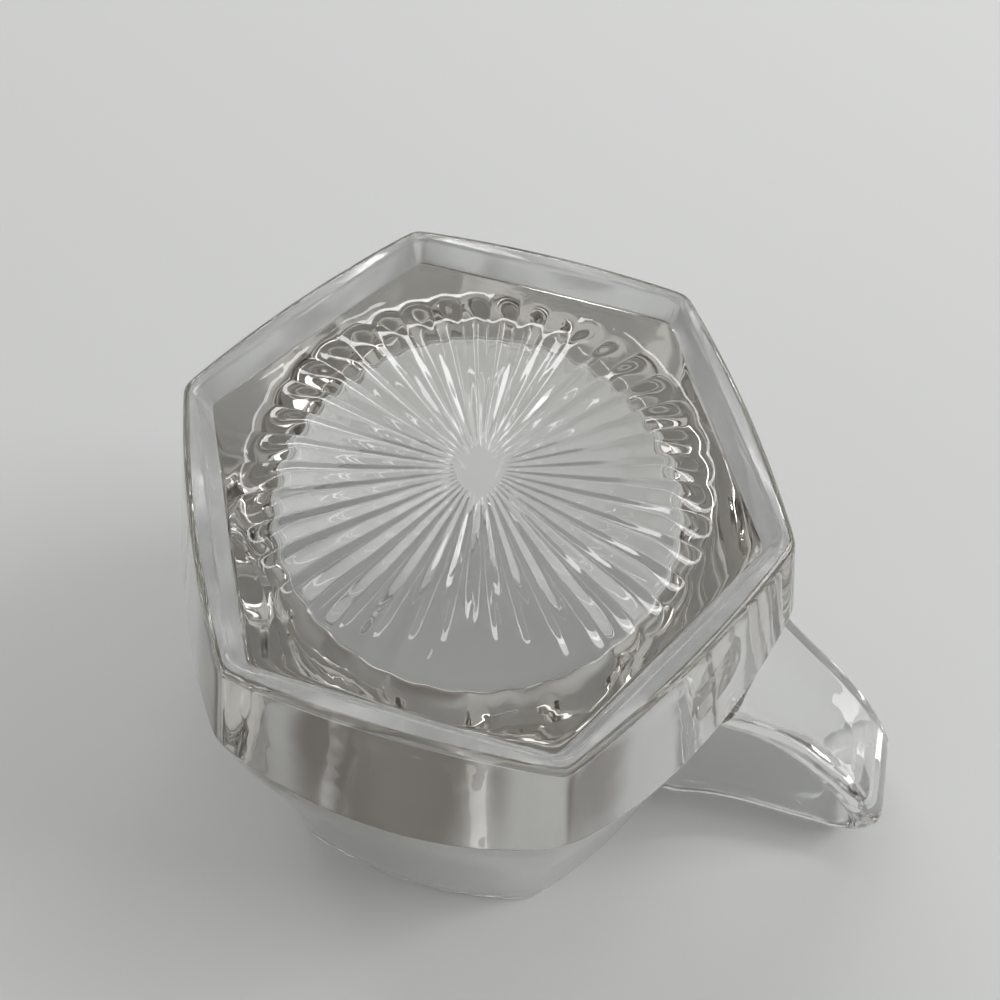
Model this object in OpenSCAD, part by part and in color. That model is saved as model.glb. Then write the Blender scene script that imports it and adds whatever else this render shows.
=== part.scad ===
// Cream jug of clear pressed glass: six bowed panels, a star base, a strap handle and a pouring lip.
// Millimetres, +Z up, origin at the centre of the foot. The handle is towards +X, the lip towards -X.

/* [Body] */
// Height from the foot to the rim
jug_h = 82; // [74:1:96]
// Axis to the middle of a panel at the belt, its widest level
belt_r = 39.8; // [38:0.1:44]
// Height at which the belt is measured
belt_z = 18; // [15:0.5:30]
// Axis to the middle of a panel at the rim
rim_r = 38.4; // [36:0.1:41]
// Radius of the outward bow of each panel, seen from above
panel_bow_r = 72; // [60:1:110]
// Thickness of the wall at the middle of a panel, at the rim
wall_t = 4; // [3:0.1:5]
// Bevel on the inner edge of the rim
rim_bevel = 0.8; // [0.3:0.1:1.2]

/* [Base] */
// Axis to the middle of a foot edge
foot_r = 33.9; // [33:0.1:36]
// Lean of the six lower facets, outwards from upright
facet_lean = 15; // [11:0.5:19]
// Radius of the outward bow of each lower facet, seen from above
facet_bow_r = 150; // [110:5:300]
// Axis to the middle of a recess edge, at the level of the foot
recess_r = 31.8; // [30.5:0.1:32]
// Depth of the recess under the base
recess_depth = 3.4; // [2.8:0.1:5]
// Slope of the sides of the recess, from upright
recess_lean = 24; // [10:1:30]
// Thickness of the glass between the recess and the inside floor
floor_t = 8.4; // [7:0.2:11]
// Radius of the inside at its floor, from where it widens up to the rim
floor_r = 24.6; // [22:0.2:27]
// Length of floor and of wall that the round between them takes up
knee_round = 1; // [0.6:0.1:2]

/* [Star] */
// Number of ribs in the star
star_ribs = 40; // [24:2:44]
// Radius of the raised star, at its flat top
star_r = 22; // [18:0.5:23]
// Height of the raised star over the recess
star_h = 1.1; // [0.6:0.1:1.4]
// Width of the slope round the raised star
star_skirt = 4.5; // [2:0.5:5]
// Radius of the plain middle of the star
star_hub_r = 2.6; // [2:0.1:5]
// Share of the spacing that the groove beside each rib fills, at the edge of the star
groove_share = 0.6; // [0.4:0.02:0.8]
// Depth of a groove at the edge of the star
groove_depth = 0.7; // [0.4:0.1:1]

/* [Lip] */
// Axis to the tip of the pouring lip
lip_reach = 52; // [48:0.5:56]
// Distance from the rim down to the root of the lip
lip_drop = 28; // [20:1:36]
// Full angle across the lip, seen along its trough
lip_angle = 62; // [50:1:70]
// Thickness of the lip
lip_t = 3.2; // [2.6:0.1:4]
// Radius of the round bottom of the trough, and of the root of the lip
lip_tip_r = 0.8; // [0.5:0.1:1.5]
// Distance from the rim down to the bottom of the notch that opens the inside into the lip
notch_drop = 20; // [14:1:22]
// Full angle of the notch, seen along the pour
notch_angle = 56; // [44:1:60]

/* [Handle] */
// Axis to the outermost point of the handle
handle_reach = 75.5; // [70:0.5:82]
// Width of the strap
handle_w = 18; // [14:0.5:22]
// Thickness of the strap
handle_t = 6; // [5:0.1:7]
// Radius of the upper outer corner, along the middle of the strap
handle_corner_r = 5; // [4:0.5:9]
// Radius of the curve of the lower arm
handle_arm_r = 110; // [90:5:200]
// Steepness of the lower arm where it reaches the corner
handle_steep = 61; // [54:1:70]
// Growth of the strap's width and thickness where it joins the body, as a share
root_swell = 0.22; // [0:0.02:0.4]
// Length over which the strap swells towards the body
swell_length = 14; // [8:1:20]

/* [Hidden] */
$fn = 96;
panels = 6;
panel_turn = 360 / panels;
glass = [0.82, 0.87, 0.87, 0.55];
floor_z = recess_depth + floor_t;
panel_lean = atan((rim_r - belt_r) / (jug_h - belt_z));
knee_steps = 5;
strap_sides = 16;
arm_rings = 10;
corner_steps = 8;
// Larger than the jug in every direction
reach = 4 * jug_h;

// Distance from the axis to the middle of a panel at height z
function panel_r(z) = belt_r + (z - belt_z) * tan(panel_lean);

// Distance from the axis to a corner where the middle of the panel is at mid_r
function corner_r(mid_r) =
    sqrt(pow(panel_bow_r, 2) - pow((panel_bow_r - mid_r) * sin(panel_turn / 2), 2))
    - (panel_bow_r - mid_r) * cos(panel_turn / 2);

// Radius of the inside at height z
function inside_r(z) = floor_r + (rim_r - wall_t - floor_r) * (z - floor_z) / (jug_h - floor_z);

// Round from the inside floor, at t = 0, to the inside wall, at t = 1
function knee(t) =
    let (
        low = [floor_r - knee_round, floor_z],
        meet = [floor_r, floor_z],
        high = [inside_r(floor_z + knee_round), floor_z + knee_round]
    )
    pow(1 - t, 2) * low + 2 * t * (1 - t) * meet + pow(t, 2) * high;

// Solid between two heights
module level(low, high) {
    translate([-reach / 2, -reach / 2, low])
        cube([reach, reach, high - low]);
}

// Six-sided hollow under the base, narrower going up
module recess() {
    intersection() {
        intersection_for(i = [0 : panels - 1])
            rotate([0, 0, (i + 0.5) * panel_turn])
                translate([recess_r, 0, 0])
                    rotate([0, -recess_lean, 0])
                        translate([-reach, -reach / 2, -reach / 2])
                            cube([reach, reach, reach]);
        level(-recess_depth, recess_depth);
    }
}

// Solid inside six bowed sides that stand at radius mid_r at height z and lean outwards going up
module six_sides(mid_r, z, bow_r, lean) {
    intersection_for(i = [0 : panels - 1])
        rotate([0, 0, (i + 0.5) * panel_turn])
            translate([mid_r, 0, z])
                rotate([0, lean, 0])
                    translate([-bow_r, 0, -reach / 2])
                        cylinder(h = reach, r = bow_r);
}

// The whole outside of the jug as one solid, without handle or lip
module outside() {
    intersection() {
        six_sides(belt_r, belt_z, panel_bow_r, panel_lean);
        six_sides(foot_r, 0, facet_bow_r, facet_lean);
        level(0, jug_h);
    }
}

// The hollow, from the inside floor up past the rim
module inside() {
    over = jug_h + rim_bevel;
    rotate_extrude()
        polygon(concat(
            [[0, over], [0, floor_z]],
            [for (i = [0 : knee_steps]) knee(i / knee_steps)],
            [
                [inside_r(jug_h - rim_bevel), jug_h - rim_bevel],
                [inside_r(jug_h - rim_bevel) + 2 * rim_bevel, over]
            ]
        ));
}

// Cone of the pouring lip, moved in by the given wall
module lip_cone(wall) {
    root_r = corner_r(panel_r(jug_h - lip_drop));
    half = lip_angle / 2;
    lean = atan((lip_reach - root_r) / lip_drop) - half;
    length = 2 * lip_drop;
    translate([-root_r, 0, jug_h - lip_drop])
        rotate([0, -lean, 0])
            translate([0, 0, wall / sin(half) + lip_tip_r / tan(half)])
                cylinder(h = length, r1 = lip_tip_r, r2 = lip_tip_r + length * tan(half));
}

// Notch through the wall behind the lip
module lip_notch() {
    rise = 2 * notch_drop;
    half_w = rise * tan(notch_angle / 2);
    translate([-rim_r, 0, jug_h - notch_drop])
        rotate([90, 0, 90])
            linear_extrude(rim_r)
                polygon([[0, 0], [half_w, rise], [-half_w, rise]]);
}

// One groove of the star, as a wedge that starts at the hub and grows outwards
module star_groove() {
    length = star_r - star_hub_r;
    half_w = star_r * sin(180 / star_ribs) * groove_share;
    slope = atan(groove_depth / length);
    translate([star_hub_r, 0, 0])
        rotate([0, -slope, 0])
            rotate([90, 0, 90])
                linear_extrude(2 * length)
                    polygon([[0, 0], [4 * half_w, -4 * groove_depth], [-4 * half_w, -4 * groove_depth]]);
}

// Raised star in the recess, ribbed by grooves that run out from its plain hub
module star() {
    root_h = floor_t / 2;
    translate([0, 0, recess_depth - star_h])
        difference() {
            union() {
                cylinder(h = star_h, r1 = star_r, r2 = star_r + star_skirt);
                cylinder(h = star_h + root_h, r = star_r);
            }
            for (i = [0 : star_ribs - 1])
                rotate([0, 0, i * 360 / star_ribs])
                    star_groove();
        }
}

// Thick bottom of the jug: foot, recess and raised star
module star_base() {
    color(glass) {
        difference() {
            intersection() {
                outside();
                level(0, floor_z);
            }
            recess();
        }
        star();
    }
}

// Six-panelled wall from the inside floor up to the rim, open into the lip
module body_wall() {
    color(glass)
        difference() {
            intersection() {
                outside();
                level(floor_z, jug_h);
            }
            inside();
            lip_cone(lip_t);
            lip_notch();
        }
}

// Spout on the corner opposite the handle
module pouring_lip() {
    color(glass)
        difference() {
            intersection() {
                lip_cone(0);
                level(0, jug_h);
            }
            lip_cone(lip_t);
            outside();
        }
}

// Share of the swell at a distance from the body's corner
function swell(from_body) =
    from_body >= swell_length ? 1 : 1 + root_swell * pow(1 - max(0, from_body) / swell_length, 2);

// One ring of the strap: centre, direction of its outer side and size, as points round its section
function strap_ring(at, out, grow) =
    let (
        t = handle_t * grow,
        flat_w = (handle_w - handle_t) * grow
    )
    [for (k = [0 : strap_sides - 1])
        let (
            turn = 360 * (k + 0.5) / strap_sides,
            thick = t / 2 * cos(turn),
            wide = t / 2 * sin(turn) + sign(sin(turn)) * flat_w / 2
        )
        [at[0] + thick * cos(out), wide, at[1] + thick * sin(out)]
    ];

// Strap handle: a level arm at the rim, a corner, and a long arm back to the body
module handle() {
    corner_x = handle_reach - handle_t / 2 - handle_corner_r;
    body_x = corner_r(rim_r);
    // Both arms run on into the body before they are cut to its outside
    root_x = rim_r - wall_t;
    arm_z = jug_h - handle_t / 2;
    corner_z = arm_z - handle_corner_r;
    arm_top_x = corner_x + handle_corner_r * sin(handle_steep);
    root_steep = asin(sin(handle_steep) - (arm_top_x - root_x) / handle_arm_r);
    arm_centre = [
        corner_x - (handle_arm_r - handle_corner_r) * sin(handle_steep),
        corner_z + (handle_arm_r - handle_corner_r) * cos(handle_steep)
    ];
    level_rings = [for (i = [0 : arm_rings])
        let (
            x = root_x + (corner_x - root_x) * i / arm_rings,
            grow = swell(x - body_x)
        )
        strap_ring([x, jug_h - handle_t * grow / 2], 90, grow)
    ];
    corner_rings = [for (i = [1 : corner_steps])
        let (out = 90 - (180 - handle_steep) * i / corner_steps)
        strap_ring([corner_x + handle_corner_r * cos(out), corner_z + handle_corner_r * sin(out)], out, 1)
    ];
    lower_rings = [for (i = [1 : arm_rings])
        let (
            out = handle_steep - 90 - (handle_steep - root_steep) * i / arm_rings,
            at = arm_centre + handle_arm_r * [cos(out), sin(out)]
        )
        strap_ring(at, out, swell(at[0] - body_x))
    ];
    rings = concat(level_rings, corner_rings, lower_rings);
    last = (len(rings) - 1) * strap_sides;
    sides = [for (r = [0 : len(rings) - 2], k = [0 : strap_sides - 1])
        let (
            a = r * strap_sides + k,
            b = r * strap_sides + (k + 1) % strap_sides
        )
        each [[a, a + strap_sides, b], [b, a + strap_sides, b + strap_sides]]
    ];
    ends = [
        [for (k = [0 : strap_sides - 1]) k],
        [for (k = [strap_sides - 1 : -1 : 0]) last + k]
    ];
    color(glass)
        difference() {
            polyhedron(points = [for (ring = rings) each ring], faces = concat(sides, ends));
            outside();
        }
}

star_base();
body_wall();
pouring_lip();
handle();
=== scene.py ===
import math

import bmesh
import bpy
import numpy as np
from mathutils import Matrix, Vector


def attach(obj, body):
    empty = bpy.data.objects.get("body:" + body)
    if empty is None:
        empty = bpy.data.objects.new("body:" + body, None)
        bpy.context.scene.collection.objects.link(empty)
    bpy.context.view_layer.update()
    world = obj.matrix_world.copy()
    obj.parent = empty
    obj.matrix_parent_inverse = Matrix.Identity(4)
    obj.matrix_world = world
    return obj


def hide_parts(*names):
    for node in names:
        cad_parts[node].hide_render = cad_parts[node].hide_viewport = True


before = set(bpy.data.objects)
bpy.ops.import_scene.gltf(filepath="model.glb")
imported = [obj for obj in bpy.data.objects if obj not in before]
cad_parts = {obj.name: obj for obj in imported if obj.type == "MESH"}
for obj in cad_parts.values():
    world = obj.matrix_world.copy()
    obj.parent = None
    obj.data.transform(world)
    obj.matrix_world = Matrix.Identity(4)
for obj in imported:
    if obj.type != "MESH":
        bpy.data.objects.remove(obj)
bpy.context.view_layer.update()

scene = bpy.context.scene
mm = 0.001

# the photo's camera looks at the foot of the turned-over jug, so in this frame it stands below and looks up
cameraSet = {
    "lens": 34.56,
    "elevation": 61.49,  # above the photo's table
    "roll": 3.77,
    "distance": 114.87,
    "aim": (2.66, -3.22),
    "turn": -12.59,  # from the photo's axes to the jug's
    "footOverRecess": 3.43,
    "sensor": 36.0,
    "clip": (0.005, 50.0),
}


def makeCamera(s):
    el, ro = math.radians(s["elevation"]), math.radians(s["roll"])
    back = Vector((0, -math.cos(el), math.sin(el)))
    right = Vector((1, 0, 0))
    up = back.cross(right)
    side = math.cos(ro) * right + math.sin(ro) * up
    top = -math.sin(ro) * right + math.cos(ro) * up
    spot = Vector((s["aim"][0], s["aim"][1], 0)) + back * s["distance"]
    spot.z -= s["footOverRecess"]
    turnOver = Matrix.Rotation(math.radians(s["turn"]), 3, "Z") @ Matrix.Rotation(math.pi, 3, "X")
    data = bpy.data.cameras.new("photoCamera")
    data.sensor_fit = "HORIZONTAL"
    data.sensor_width = s["sensor"]
    data.lens = s["lens"]
    data.clip_start, data.clip_end = s["clip"]
    cam = bpy.data.objects.new("photoCamera", data)
    axes = Matrix((turnOver @ side, turnOver @ top, turnOver @ back)).transposed()
    cam.matrix_world = Matrix.Translation(turnOver @ spot * mm) @ axes.to_4x4()
    scene.collection.objects.link(cam)
    scene.camera = cam
    return turnOver


turnOver = makeCamera(cameraSet)
print("camera set")

# six bowed sides, corners at 0, 60 ... degrees
bodySet = {
    "around": 480, "facetRings": 12, "outsideRings": (8, 34), "insideRings": (34, 8),
    "height": 82.0,
    "footMid": 33.9, "facetBow": 150.0, "facetLean": 15.0,
    "beltMid": 39.8, "beltZ": 18.0, "waistMid": 38.0, "waistZ": 66.0, "rimMid": 38.5, "panelBow": 72.0,
    "cornerSoft": 0.35, "edgeRound": 0.8, "edgeLean": 0.26, "sharpAngle": 34.0,
    "creaseRange": (4.0, 45.0), "creaseSoft": (0.35, 0.12), "creaseIn": 0.004,
    "wall": 4.0, "rimRound": 1.3,
    "floorZ": 11.8, "floorR": 24.6, "kneeRound": 1.0, "kneeRings": 9,  # a round well, wider going up
    "floorRings": (21, 14, 7, 2.5), "footTurns": (0, 22, 45, 68, 90), "rimTurns": (25, 50, 70, 90),
    "recessMid": 30.3, "recessTop": 31.7, "recessDepth": 3.4, "straightBow": 2000.0,
    "recessIn": 0.25, "recessSoft": (0.3, 0.5),
    "recessFoot": ((-0.05, 0.06), (0.12, 0.28)),  # out from the recess's floor, and down
    "recessEdge": ((-0.35, 0.62), (-0.12, 0.2), (0.08, 0.04)),  # out from its upper edge, and the height
}

starSet = {
    "ribs": 40, "height": 1.5, "shoulder": 22.0, "skirtEnd": 29.2,
    "ribDepth": 0.36, "ribRound": 0.78, "valleySoft": 0.6, "hub": 2.2, "ribGrow": 11.0, "ribFade": 1.0,
    "scallop": 0.12, "scallopFrom": 12.0, "scallopTo": 20.0,
    "rings": (0.8, 20.0, 20), "fineRings": (20.4, 29.4, 22),
}

lipSet = {
    "reach": 51.6, "rootR": 41.0, "rootZ": 54.0, "angle": 62.0, "thick": 3.2, "soft": 1.5, "halfTurn": 27.0,
    "notchZ": 62.0, "notchAngle": 56.0, "notchSoft": 0.8,  # through the wall behind the lip
    "blendBelow": 4.0, "reachTurn": 1.0, "fineTurn": 3.0,
}

# steps round the jug, finer at the lip
theta = np.linspace(0, 2 * np.pi, bodySet["around"], endpoint=False)
between = theta + np.pi / bodySet["around"]
fineHalf = math.radians(lipSet["halfTurn"] + lipSet["fineTurn"])
theta = np.sort(np.concatenate([theta, between[np.abs(between - np.pi) < fineHalf]]))


def smoothStep(a, b, x):
    t = np.clip((x - a) / (b - a), 0, 1)
    return t * t * (3 - 2 * t)


def sideRay(mid, bow, t):
    o = bow - mid
    return -o * np.cos(t) + np.sqrt(bow ** 2 - (o * np.sin(t)) ** 2)


def sixSides(mid, bow, soft):
    t = np.abs((np.degrees(theta) % 60) - 30)
    own = sideRay(mid, bow, np.radians(t))
    other = sideRay(mid, bow, np.radians(60 - t))
    return own - soft * np.log1p(np.exp(-(other - own) / soft))


def panelMid(z):
    b = bodySet
    down = smoothStep(b["beltZ"], b["waistZ"], z)
    flare = np.clip((z - b["waistZ"]) / (b["height"] - b["waistZ"]), 0, 1) ** 2
    return b["beltMid"] + (b["waistMid"] - b["beltMid"]) * down + (b["rimMid"] - b["waistMid"]) * flare


def insideRadius(z):
    b = bodySet
    share = (z - b["floorZ"]) / (b["height"] - b["floorZ"])
    return b["floorR"] + (b["rimMid"] - b["wall"] - b["floorR"]) * share


def facetRadius(z):
    b = bodySet
    mid = b["footMid"] + z * math.tan(math.radians(b["facetLean"]))
    return sixSides(mid, b["facetBow"], b["cornerSoft"])


def panelRadius(z):
    return sixSides(panelMid(z), bodySet["panelBow"], bodySet["cornerSoft"])


# where the lower facets meet the panels, found by halving
def creaseHeight():
    low, high = (np.full_like(theta, z) for z in bodySet["creaseRange"])
    for step in range(40):
        z = (low + high) / 2
        inside = facetRadius(z) < panelRadius(z)
        low, high = np.where(inside, z, low), np.where(inside, high, z)
    return (low + high) / 2


def lipCone(z, wall):
    s = lipSet
    half = math.radians(s["angle"] / 2)
    rise = bodySet["height"] - s["rootZ"]
    lean = math.atan((s["reach"] - s["rootR"]) / rise) - half
    axis = np.array([-math.sin(lean), 0, math.cos(lean)])
    root = np.array([-s["rootR"], 0, s["rootZ"]]) + axis * wall / math.sin(half)
    c2 = math.cos(half) ** 2
    wx, wz = -root[0], z - root[2]
    ex = np.cos(theta)
    along, w = ex * axis[0], wx * axis[0] + wz * axis[2]
    p = along ** 2 - c2
    q = along * w - c2 * ex * wx
    disc = q * q - p * (w * w - c2 * (wx * wx + wz * wz))
    out = (-q - np.sign(disc) * np.sqrt(np.abs(disc))) / p
    return np.where((np.abs(theta - math.pi) < s["reachTurn"]) & (wz > 0), out, 0)


def lipNotch(z):
    halfWide = np.maximum(z - lipSet["notchZ"], 0) * math.tan(math.radians(lipSet["notchAngle"] / 2))
    across = np.maximum(np.abs(np.sin(theta)), 0.001)
    return np.where(np.abs(theta - math.pi) < lipSet["reachTurn"], halfWide / across, 0)


def withLip(r, z, wall, soft):
    if np.max(z) < lipSet["rootZ"] - lipSet["blendBelow"]:
        return r
    lip = lipCone(z, wall)
    if wall:
        notch, blend = lipNotch(z), lipSet["notchSoft"]
        lip = np.minimum(lip, notch) - blend * np.log1p(np.exp(-np.abs(lip - notch) / blend))
    return np.maximum(r, lip) + soft * np.log1p(np.exp(-np.abs(r - lip) / soft))


def starDrop(r):
    s = starSet
    u = 2 * ((np.degrees(theta) * s["ribs"] / 360 + 0.5) % 1) - 1
    rib = np.sqrt(1 - s["ribRound"] * u ** 2)
    rib = (rib - math.sqrt(1 - s["ribRound"])) / (1 - math.sqrt(1 - s["ribRound"]))
    rib = rib + s["valleySoft"] * (0.5 + 0.5 * np.cos(math.pi * u) - rib)
    reach = r - s["scallop"] * (rib - 0.5) * smoothStep(s["scallopFrom"], s["scallopTo"], r)
    boss = s["height"] * (1 - smoothStep(s["shoulder"], s["skirtEnd"], reach))
    deep = s["ribDepth"] * np.clip((r - s["hub"]) / s["ribGrow"], 0, 1)
    deep = deep * (1 - smoothStep(s["shoulder"] + s["ribFade"], s["skirtEnd"], r))
    return np.maximum(boss + deep * (rib - 1), 0)


# round from the inside wall to the inside floor
def kneePath():
    b = bodySet
    k = b["kneeRound"]
    start = np.array([insideRadius(b["floorZ"] + k), b["floorZ"] + k])
    meet = np.array([b["floorR"], b["floorZ"]])
    end = np.array([b["floorR"] - k, b["floorZ"]])
    steps = np.linspace(0, 1, b["kneeRings"])
    return [start * (1 - t) ** 2 + meet * 2 * t * (1 - t) + end * t * t for t in steps]


# rings from the middle of the star, out over the foot, up the outside,
# over the rim and down to the inside floor
def jugRings():
    b = bodySet
    one = np.ones_like(theta)
    rings = []

    def add(r, z, region):
        rings.append((r * one, z * one, region))

    for r in np.concatenate([np.linspace(*starSet["rings"]), np.linspace(*starSet["fineRings"])]):
        add(r, b["recessDepth"] - starDrop(r), "base")
    starEnd = starSet["fineRings"][1]
    soft, softer = b["recessSoft"]
    floorHex = sixSides(b["recessMid"] - b["recessIn"], b["straightBow"], soft)
    for t in (0.25, 0.5, 0.75, 1.0):
        add(starEnd + (floorHex - starEnd) * t, b["recessDepth"], "base")
    bevel = [(b["recessMid"] + out, b["recessDepth"] - down) for out, down in b["recessFoot"]]
    bevel += [(b["recessTop"] + out, z) for out, z in b["recessEdge"]]
    for k, (mid, z) in enumerate(bevel):
        corner = soft + softer * (1 - z / b["recessDepth"])
        add(sixSides(mid, b["straightBow"], corner), z, "worn" if k else "base")
    e = b["edgeRound"]
    foot = facetRadius(0 * one)
    for turn in b["footTurns"]:
        a = math.radians(turn)
        r = foot - e * (1 - math.sin(a)) + e * b["edgeLean"] * (1 - math.cos(a))
        add(r, e * (1 - math.cos(a)), "base" if turn else "worn")
    crease = creaseHeight()
    wide, narrow = b["creaseSoft"]
    for t in np.linspace(0, 1, b["facetRings"])[1:-1]:
        z = e + (crease - wide - e) * t
        add(facetRadius(z), z, "base" if t < 0.5 else "wall")
    for dz in (-wide, -narrow):
        add(facetRadius(crease + dz) - b["creaseIn"], crease + dz, "wall")
    for dz in (narrow, wide):
        add(panelRadius(crease + dz) - b["creaseIn"], crease + dz, "wall")
    top = b["height"] - b["rimRound"]
    low, high = b["outsideRings"]
    for t in np.concatenate([np.linspace(0, 0.5, low)[1:], np.linspace(0.5, 1, high)[1:]]):
        z = crease + wide + (top - crease - wide) * t
        add(withLip(panelRadius(z), z, 0, lipSet["soft"]), z, "wall")
    q = b["rimRound"]
    rim = withLip(panelRadius(b["height"] * one), b["height"] * one, 0, lipSet["soft"])
    hole = withLip(insideRadius(b["height"] * one), b["height"] * one, lipSet["thick"], lipSet["soft"])
    for turn in b["rimTurns"]:
        a = math.radians(turn)
        add(rim - q * (1 - math.cos(a)), top + q * math.sin(a), "wall")
    add((rim - q) * 0.5 + (hole + q) * 0.5, b["height"], "wall")
    for turn in b["rimTurns"][::-1] + (0,):
        a = math.radians(turn)
        add(hole + q * (1 - math.cos(a)), top + q * math.sin(a), "wall")
    kneeTop = kneePath()[0][1]
    high, low = b["insideRings"]
    for t in np.concatenate([np.linspace(0, 0.5, high)[1:], np.linspace(0.5, 1, low)[1:-1]]):
        z = top + (kneeTop - top) * t
        add(withLip(insideRadius(z * one), z * one, lipSet["thick"], lipSet["soft"]), z, "wall")
    for r, z in kneePath():
        add(r, z, "wall")
    for r in b["floorRings"]:
        add(r, b["floorZ"], "base")
    return rings


regionNames = ["base", "wall", "lip", "handle", "worn"]  # one material slot each


def bodyMesh():
    rings = jugRings()
    n = len(theta)
    baseSlot, lipSlot = regionNames.index("base"), regionNames.index("lip")
    c, s = np.cos(theta), np.sin(theta)
    pts = [np.stack([r * c, r * s, z], -1) for r, z, region in rings]
    first = np.array([[0, 0, bodySet["recessDepth"] - starSet["height"]]])
    last = np.array([[0, 0, bodySet["floorZ"]]])
    verts = np.concatenate([first] + pts + [last]) * mm
    faces, marks = [], []
    lipAngle = math.radians(lipSet["halfTurn"])
    inLip = np.abs(theta - math.pi) < lipAngle
    for k in range(n):
        faces.append((0, 1 + (k + 1) % n, 1 + k))
        marks.append(baseSlot)
    for j in range(len(rings) - 1):
        a, b = 1 + j * n, 1 + (j + 1) * n
        region = regionNames.index(rings[j + 1][2])
        high = rings[j][1].min() > lipSet["rootZ"]
        for k in range(n):
            m = (k + 1) % n
            faces.append((a + k, a + m, b + m, b + k))
            marks.append(lipSlot if high and inLip[k] and inLip[m] else region)
    a, end = 1 + (len(rings) - 1) * n, len(verts) - 1
    for k in range(n):
        faces.append((a + k, a + (k + 1) % n, end))
        marks.append(baseSlot)
    mesh = bpy.data.meshes.new("jugBody")
    mesh.from_pydata([tuple(v) for v in verts], [], faces)
    mesh.polygons.foreach_set("material_index", marks)
    mesh.update()
    return mesh


handleSet = {
    "reach": 75.5, "wide": 18.0, "thick": 6.0, "cornerR": 5.0, "armR": 110.0, "steep": 61.0,
    "rootX": 36.8, "bodyX": 41.0, "swell": 0.22, "swellLength": 14.0, "around": 40, "steps": (26, 15, 34),
}


def handleMesh():
    s = handleSet
    half = s["thick"] / 2
    cornerX = s["reach"] - half - s["cornerR"]
    armZ = bodySet["height"] - half
    cornerZ = armZ - s["cornerR"]
    steep = math.radians(s["steep"])
    armTopX = cornerX + s["cornerR"] * math.sin(steep)
    rootSteep = math.asin(math.sin(steep) - (armTopX - s["rootX"]) / s["armR"])
    armCx = cornerX - (s["armR"] - s["cornerR"]) * math.sin(steep)
    armCz = cornerZ + (s["armR"] - s["cornerR"]) * math.cos(steep)

    def grow(x):
        d = max(0.0, x - s["bodyX"])
        return 1 + s["swell"] * max(0.0, 1 - d / s["swellLength"]) ** 2

    path = []
    topSteps, cornerSteps, armSteps = s["steps"]
    for t in np.linspace(0, 1, topSteps):
        x = s["rootX"] + (cornerX - s["rootX"]) * t
        g = grow(x)
        path.append((x, bodySet["height"] - half * g, math.pi / 2, g))
    for t in np.linspace(0, 1, cornerSteps)[1:]:
        out = math.pi / 2 - (math.pi - steep) * t
        x, z = cornerX + s["cornerR"] * math.cos(out), cornerZ + s["cornerR"] * math.sin(out)
        path.append((x, z, out, 1))
    for t in np.linspace(0, 1, armSteps)[1:]:
        out = steep - math.pi / 2 - (steep - rootSteep) * t
        x = armCx + s["armR"] * math.cos(out)
        path.append((x, armCz + s["armR"] * math.sin(out), out, grow(x)))
    n = s["around"]
    verts, faces = [], []
    for x, z, out, g in path:
        t, flat = s["thick"] * g, (s["wide"] - s["thick"]) * g
        for k in range(n):
            a = 2 * math.pi * (k + 0.5) / n
            deep = t / 2 * math.cos(a)
            wide = t / 2 * math.sin(a) + math.copysign(flat / 2, math.sin(a))
            verts.append(((x + deep * math.cos(out)) * mm, wide * mm, (z + deep * math.sin(out)) * mm))
    for r in range(len(path) - 1):
        for k in range(n):
            a, b = r * n + k, r * n + (k + 1) % n
            faces.append((a, a + n, b + n, b))
    faces.append(tuple(range(n)))
    faces.append(tuple((len(path) - 1) * n + k for k in reversed(range(n))))
    mesh = bpy.data.meshes.new("handleStrap")
    mesh.from_pydata(verts, [], faces)
    mesh.polygons.foreach_set("material_index", [regionNames.index("handle")] * len(faces))
    mesh.update()
    return mesh


def addObject(name, mesh):
    ob = bpy.data.objects.new(name, mesh)
    scene.collection.objects.link(ob)
    return ob


def outward(mesh):
    bm = bmesh.new()
    bm.from_mesh(mesh)
    bmesh.ops.recalc_face_normals(bm, faces=bm.faces)
    bm.to_mesh(mesh)
    bm.free()


def pressJug(glass, foot):
    bodyData, strapData = bodyMesh(), handleMesh()
    for data in (bodyData, strapData):
        outward(data)
        for name in regionNames:
            data.materials.append(foot if name == "worn" else glass)
    jug = addObject("jugBody", bodyData)
    strap = addObject("handleStrap", strapData)
    join = jug.modifiers.new("join", "BOOLEAN")
    join.operation = "UNION"
    join.solver = "MANIFOLD"
    join.object = strap
    bpy.context.view_layer.update()
    whole = bpy.data.meshes.new_from_object(jug.evaluated_get(bpy.context.evaluated_depsgraph_get()))
    jug.modifiers.clear()
    jug.data = whole
    bpy.data.objects.remove(strap)
    # the join shuffles the material slots
    for k, name in enumerate(regionNames):
        whole.materials[k] = foot if name == "worn" else glass
    whole.shade_smooth()
    whole.set_sharp_from_angle(angle=math.radians(bodySet["sharpAngle"]))
    return jug


def math2(nodes, links, op, a, b):
    m = nodes.new("ShaderNodeMath")
    m.operation = op
    for i, v in enumerate((a, b)):
        if isinstance(v, (int, float)):
            m.inputs[i].default_value = v
        else:
            links.new(v, m.inputs[i])
    return m.outputs[0]


# 0 at the first value, 1 at the second
def fadeBetween(nodes, links, value, first, second):
    fade = nodes.new("ShaderNodeMapRange")
    fade.interpolation_type = "SMOOTHSTEP"
    low, high = min(first, second), max(first, second)
    fade.inputs["From Min"].default_value = low
    fade.inputs["From Max"].default_value = high
    fade.inputs["To Min"].default_value = 0.0 if first < second else 1.0
    fade.inputs["To Max"].default_value = 1.0 if first < second else 0.0
    links.new(value, fade.inputs["Value"])
    return fade.outputs[0]


def placeGroup(nodes, tree):
    node = nodes.new("ShaderNodeGroup")
    node.node_tree = tree
    return node


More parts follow.
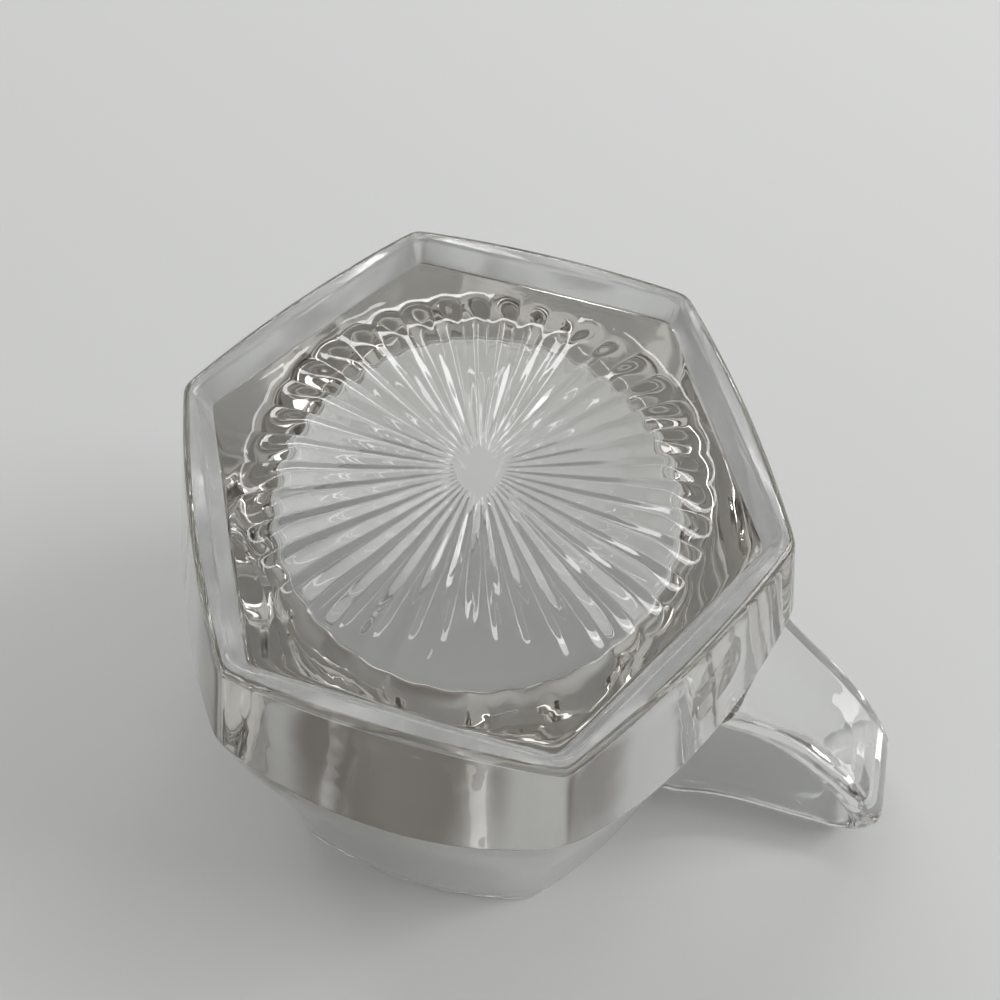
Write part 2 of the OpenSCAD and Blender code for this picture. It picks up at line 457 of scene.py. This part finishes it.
glassSet = {
    "name": "clearGlass", "tint": (0.975, 0.98, 0.976, 1), "ior": 1.52, "through": 1.0,
    # faint waves of pressed glass
    "ripple": 0.05, "rippleSize": 90.0, "rippleDetail": 2.0, "rippleDeep": 0.002,
    "dull": 0.0, "dullSpread": 0.0, "dullSize": 60.0,
    "depthTint": (0.80, 0.775, 0.735, 1), "depth": 16.0,  # greyer where the glass is thick
}
# the land of the foot and the sides of the recess are dulled by wear
footSet = dict(glassSet, name="wornFoot", tint=(0.84, 0.845, 0.84, 1), through=0.8,
               dull=0.24, dullSpread=0.06, depth=0.0)


def makeWaves(s):
    tree = bpy.data.node_groups.new("pressedWaves", "ShaderNodeTree")
    tree.interface.new_socket("Normal", in_out="OUTPUT", socket_type="NodeSocketVector")
    nodes, links = tree.nodes, tree.links
    end = nodes.new("NodeGroupOutput")
    where = nodes.new("ShaderNodeTexCoord")
    wave = nodes.new("ShaderNodeTexNoise")
    wave.inputs["Scale"].default_value = s["rippleSize"]
    wave.inputs["Detail"].default_value = s["rippleDetail"]
    bump = nodes.new("ShaderNodeBump")
    bump.inputs["Strength"].default_value = s["ripple"]
    bump.inputs["Distance"].default_value = s["rippleDeep"]
    links.new(where.outputs["Object"], wave.inputs["Vector"])
    links.new(wave.outputs["Fac"], bump.inputs["Height"])
    links.new(bump.outputs["Normal"], end.inputs["Normal"])
    return tree


pressedWaves = makeWaves(glassSet)


def makeGlass(s):
    mat = bpy.data.materials.new(s["name"])
    mat.use_nodes = True
    nodes, links = mat.node_tree.nodes, mat.node_tree.links
    shader = nodes["Principled BSDF"]
    shader.inputs["Base Color"].default_value = s["tint"]
    shader.inputs["IOR"].default_value = s["ior"]
    shader.inputs["Transmission Weight"].default_value = s["through"]
    links.new(placeGroup(nodes, pressedWaves).outputs["Normal"], shader.inputs["Normal"])
    shader.inputs["Roughness"].default_value = s["dull"]
    if s["dullSpread"]:
        where = nodes.new("ShaderNodeTexCoord")
        wear = nodes.new("ShaderNodeTexNoise")
        wear.inputs["Scale"].default_value = s["dullSize"]
        links.new(where.outputs["Object"], wear.inputs["Vector"])
        spread = math2(nodes, links, "MULTIPLY", wear.outputs["Fac"], 2 * s["dullSpread"])
        dull = math2(nodes, links, "ADD", spread, s["dull"] - s["dullSpread"])
        links.new(dull, shader.inputs["Roughness"])
    if s["depth"]:
        depth = nodes.new("ShaderNodeVolumeAbsorption")
        depth.inputs["Color"].default_value = s["depthTint"]
        depth.inputs["Density"].default_value = s["depth"]
        links.new(depth.outputs[0], nodes["Material Output"].inputs["Volume"])
    return mat


glass = makeGlass(glassSet)
foot = makeGlass(footSet)
jug = pressJug(glass, foot)
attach(jug, "root")
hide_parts("star_base", "body_wall", "pouring_lip", "handle")
print("jug pressed", len(jug.data.polygons))

# one-sided planes: the floor under the foot, and the photo's table at the rim, seen only from below
stageSet = {
    "size": 6.0, "dull": 0.8, "shine": 0.0, "fadeFrom": 0.22, "fadeTo": 0.85,
    # through the glass, the table's colour is darkened beyond the near edge of the camera's view and a
    # little behind the jug: painted shade
    "dimFrom": 0.034, "dimTo": 0.058, "dimTurn": -25.0, "behindJug": (-0.056, -0.075), "behindDim": 0.34,
    "floorGap": 0.0002, "tableGap": 0.00004, "tableSteep": 0.45, "floorSteep": (0.2, 0.62),
    "besideFoot": (0.0342, 0.0352), "besideEnd": (0.12, 0.09),  # the floor that the sides of the jug mirror
    "floorColour": (0.72, 0.73, 0.725, 1), "tableColour": (0.72, 0.73, 0.725, 1),
    # painted shade: the dark colour that the table takes for rays through the glass
    "paintedShadeColour": (0.27, 0.25, 0.232, 1),
}


def stagePlane(name, z, faceDown, mat):
    h = stageSet["size"] / 2
    pts = [(-h, -h, z), (h, -h, z), (h, h, z), (-h, h, z)]
    mesh = bpy.data.meshes.new(name)
    mesh.from_pydata(pts, [], [(3, 2, 1, 0) if faceDown else (0, 1, 2, 3)])
    mesh.materials.append(mat)
    addObject(name, mesh)


# the room is dim, with pale sides given as degrees round the jug and half widths;
# level: pale only near eye level
roomSet = {"pale": ((135.0, 30.0), (-45.0, 30.0)), "level": ((132.0, 86.0),), "soft": 14.0}


def makeRoomSides(s):
    tree = bpy.data.node_groups.new("roomSides", "ShaderNodeTree")
    tree.interface.new_socket("Direction", in_out="INPUT", socket_type="NodeSocketVector")
    tree.interface.new_socket("Pale", in_out="OUTPUT", socket_type="NodeSocketFloat")
    tree.interface.new_socket("Level", in_out="OUTPUT", socket_type="NodeSocketFloat")
    nodes, links = tree.nodes, tree.links
    start, end = nodes.new("NodeGroupInput"), nodes.new("NodeGroupOutput")
    for key, name in (("pale", "Pale"), ("level", "Level")):
        total = None
        for middle, half in s[key]:
            turn = nodes.new("ShaderNodeVectorRotate")
            turn.rotation_type = "Z_AXIS"
            turn.inputs["Angle"].default_value = -math.radians(middle)
            parts = nodes.new("ShaderNodeSeparateXYZ")
            links.new(start.outputs["Direction"], turn.inputs["Vector"])
            links.new(turn.outputs["Vector"], parts.inputs[0])
            angle = math2(nodes, links, "ARCTAN2", parts.outputs["Y"], parts.outputs["X"])
            angle = math2(nodes, links, "ABSOLUTE", angle, 0.0)
            low, high = math.radians(half - s["soft"] / 2), math.radians(half + s["soft"] / 2)
            fade = fadeBetween(nodes, links, angle, high, low)
            total = fade if total is None else math2(nodes, links, "MAXIMUM", total, fade)
        links.new(total, end.inputs[name])
    return tree


roomSides = makeRoomSides(roomSet)


def makeFarFade(s):
    tree = bpy.data.node_groups.new("farFade", "ShaderNodeTree")
    tree.interface.new_socket("Distance", in_out="OUTPUT", socket_type="NodeSocketFloat")
    tree.interface.new_socket("Near", in_out="OUTPUT", socket_type="NodeSocketFloat")
    nodes, links = tree.nodes, tree.links
    end = nodes.new("NodeGroupOutput")
    geo = nodes.new("ShaderNodeNewGeometry")
    length = nodes.new("ShaderNodeVectorMath")
    length.operation = "LENGTH"
    links.new(geo.outputs["Position"], length.inputs[0])
    links.new(length.outputs["Value"], end.inputs["Distance"])
    near = fadeBetween(nodes, links, length.outputs["Value"], s["fadeTo"], s["fadeFrom"])
    links.new(near, end.inputs["Near"])
    return tree


farFade = makeFarFade(stageSet)


def stageMaterial(name, colour, isTable):
    mat = bpy.data.materials.new(name)
    mat.use_nodes = True
    nodes, links = mat.node_tree.nodes, mat.node_tree.links
    shader = nodes["Principled BSDF"]
    shader.inputs["Base Color"].default_value = colour
    shader.inputs["Roughness"].default_value = stageSet["dull"]
    shader.inputs["Specular IOR Level"].default_value = stageSet["shine"]
    clear = nodes.new("ShaderNodeBsdfTransparent")
    mix = nodes.new("ShaderNodeMixShader")
    ray = nodes.new("ShaderNodeLightPath")
    geo = nodes.new("ShaderNodeNewGeometry")
    lean = nodes.new("ShaderNodeLayerWeight")
    lean.inputs["Blend"].default_value = 0.5
    front = math2(nodes, links, "SUBTRACT", 1.0, geo.outputs["Backfacing"])
    steep = math2(nodes, links, "SUBTRACT", 1.0, lean.outputs["Facing"])
    mirrored, passing = ray.outputs["Is Glossy Ray"], ray.outputs["Is Transmission Ray"]
    through = math2(nodes, links, "MAXIMUM", mirrored, passing)
    fade = placeGroup(nodes, farFade)
    if isTable:
        seen = math2(nodes, links, "MAXIMUM", ray.outputs["Is Camera Ray"], through)
        enough = math2(nodes, links, "GREATER_THAN", steep, stageSet["tableSteep"])
        seen = math2(nodes, links, "MULTIPLY", seen, enough)
        # painted shade: the table colour turns darker for rays through the glass, near the camera and
        # behind the jug
        turn = math.radians(stageSet["dimTurn"])
        nearer = nodes.new("ShaderNodeVectorMath")
        nearer.operation = "DOT_PRODUCT"
        links.new(geo.outputs["Position"], nearer.inputs[0])
        nearer.inputs[1].default_value = turnOver @ Vector((math.sin(turn), -math.cos(turn), 0))
        dim = fadeBetween(nodes, links, nearer.outputs["Value"], stageSet["dimFrom"], stageSet["dimTo"])
        behind = fadeBetween(nodes, links, nearer.outputs["Value"], *stageSet["behindJug"])
        behind = math2(nodes, links, "MULTIPLY", behind, stageSet["behindDim"])
        dim = math2(nodes, links, "MAXIMUM", dim, behind)
        dim = math2(nodes, links, "MULTIPLY", dim, through)
        shade = nodes.new("ShaderNodeMix")
        shade.data_type = "RGBA"
        links.new(dim, shade.inputs["Factor"])
        shade.inputs["A"].default_value = colour
        shade.inputs["B"].default_value = stageSet["paintedShadeColour"]
        links.new(shade.outputs["Result"], shader.inputs["Base Color"])
    else:
        least, most = stageSet["floorSteep"]
        shallow = math2(nodes, links, "LESS_THAN", steep, most)
        enough = math2(nodes, links, "GREATER_THAN", steep, least)
        shallow = math2(nodes, links, "MULTIPLY", shallow, enough)
        seen = math2(nodes, links, "MULTIPLY", through, shallow)
        side = placeGroup(nodes, roomSides)
        links.new(geo.outputs["Position"], side.inputs["Direction"])
        seen = math2(nodes, links, "MULTIPLY", seen, side.outputs["Pale"])
        across = 0.0
        for turn in (30, 90, 150):
            toSide = nodes.new("ShaderNodeVectorMath")
            toSide.operation = "DOT_PRODUCT"
            links.new(geo.outputs["Position"], toSide.inputs[0])
            a = math.radians(turn)
            toSide.inputs[1].default_value = (math.cos(a), math.sin(a), 0)
            far = math2(nodes, links, "ABSOLUTE", toSide.outputs["Value"], 0.0)
            across = math2(nodes, links, "MAXIMUM", far, across)
        offFoot = fadeBetween(nodes, links, across, *stageSet["besideFoot"])
        closeBy = fadeBetween(nodes, links, fade.outputs["Distance"], *stageSet["besideEnd"])
        beside = math2(nodes, links, "MULTIPLY", offFoot, closeBy)
        seen = math2(nodes, links, "MAXIMUM", seen, math2(nodes, links, "MULTIPLY", beside, through))
        seen = math2(nodes, links, "MAXIMUM", seen, ray.outputs["Is Camera Ray"])
    seen = math2(nodes, links, "MULTIPLY", seen, front)
    seen = math2(nodes, links, "MULTIPLY", seen, fade.outputs["Near"])
    links.new(seen, mix.inputs[0])
    links.new(clear.outputs[0], mix.inputs[1])
    links.new(shader.outputs[0], mix.inputs[2])
    links.new(mix.outputs[0], nodes["Material Output"].inputs["Surface"])
    return mat


floorMat = stageMaterial("floorPale", stageSet["floorColour"], False)
tableMat = stageMaterial("tablePale", stageSet["tableColour"], True)
stagePlane("floor", -stageSet["floorGap"], False, floorMat)
stagePlane("table", bodySet["height"] * mm + stageSet["tableGap"], True, tableMat)
print("stage set")

# directions are given as in the photo, with its table level: x right, y away, z up;
# each lamp has a softer twin for the jug seen upright; inGlass: also seen through the glass
lampSet = [
    {"name": "window", "at": (-0.1, 1.05, 0.72), "size": (1.6, 0.13), "soft": (1.6, 0.9),
     "power": 5.6, "inGlass": True},
    {"name": "ceilingLamp", "at": (0.9, 0.12, 0.8), "size": (0.5, 0.5), "soft": (0.9, 0.9),
     "power": 5.2, "inGlass": False},
    {"name": "leftTube", "at": (-0.45, 0.45, 0.8), "size": (0.8, 0.045), "soft": (0.8, 0.1),
     "power": 0.75, "inGlass": True},
    {"name": "rightTube", "at": (0.45, 0.45, 0.8), "size": (0.8, 0.045), "soft": (0.8, 0.1),
     "power": 0.9, "inGlass": True},
]


def addLamp(name, spot, size, power):
    data = bpy.data.lights.new(name, "AREA")
    data.shape = "RECTANGLE"
    data.size, data.size_y = size
    data.energy = power
    ob = bpy.data.objects.new(name, data)
    ob.location = spot
    ob.rotation_euler = (-spot).to_track_quat("-Z", "Y").to_euler()
    scene.collection.objects.link(ob)
    return ob


for lamp in lampSet:
    spot = Vector(lamp["at"])
    lit = addLamp(lamp["name"], turnOver @ spot, lamp["size"], lamp["power"])
    lit.visible_transmission = lamp["inGlass"]
    addLamp(lamp["name"] + "Above", spot, lamp["soft"], lamp["power"])

# walls with dim and pale sides, and a ceiling; the camera itself sees a pale backdrop
worldSet = {
    "dimWall": (0.20, 0.19, 0.178, 1), "paleWall": (0.50, 0.51, 0.505, 1),
    "ceiling": (0.36, 0.36, 0.355, 1), "backdrop": (0.60, 0.61, 0.605, 1),
    "ceilingRise": (0.45, 0.9), "levelEnd": (0.32, 0.24),
}


def makeWorld(s):
    world = bpy.data.worlds.new("room")
    scene.world = world
    world.use_nodes = True
    nodes, links = world.node_tree.nodes, world.node_tree.links
    back = nodes["Background"]
    where = nodes.new("ShaderNodeTexCoord")
    parts = nodes.new("ShaderNodeSeparateXYZ")
    side = placeGroup(nodes, roomSides)
    links.new(where.outputs["Generated"], parts.inputs[0])
    links.new(where.outputs["Generated"], side.inputs["Direction"])
    height = math2(nodes, links, "ABSOLUTE", parts.outputs["Z"], 0.0)
    high = fadeBetween(nodes, links, height, *s["ceilingRise"])
    level = fadeBetween(nodes, links, height, *s["levelEnd"])
    level = math2(nodes, links, "MULTIPLY", side.outputs["Level"], level)
    pale = math2(nodes, links, "MAXIMUM", side.outputs["Pale"], level)
    ray = nodes.new("ShaderNodeLightPath")

    def mixColour(factor, a, b):
        mix = nodes.new("ShaderNodeMix")
        mix.data_type = "RGBA"
        links.new(factor, mix.inputs["Factor"])
        for name, value in (("A", a), ("B", b)):
            if isinstance(value, tuple):
                mix.inputs[name].default_value = value
            else:
                links.new(value, mix.inputs[name])
        return mix.outputs["Result"]

    wall = mixColour(pale, s["dimWall"], s["paleWall"])
    room = mixColour(high, wall, s["ceiling"])
    links.new(mixColour(ray.outputs["Is Camera Ray"], room, s["backdrop"]), back.inputs["Color"])


makeWorld(worldSet)
print("lights set")

scene.view_settings.view_transform = "Standard"
scene.cycles.max_bounces = 24
scene.cycles.transmission_bounces = 24
scene.cycles.glossy_bounces = 12
scene.cycles.transparent_max_bounces = 24
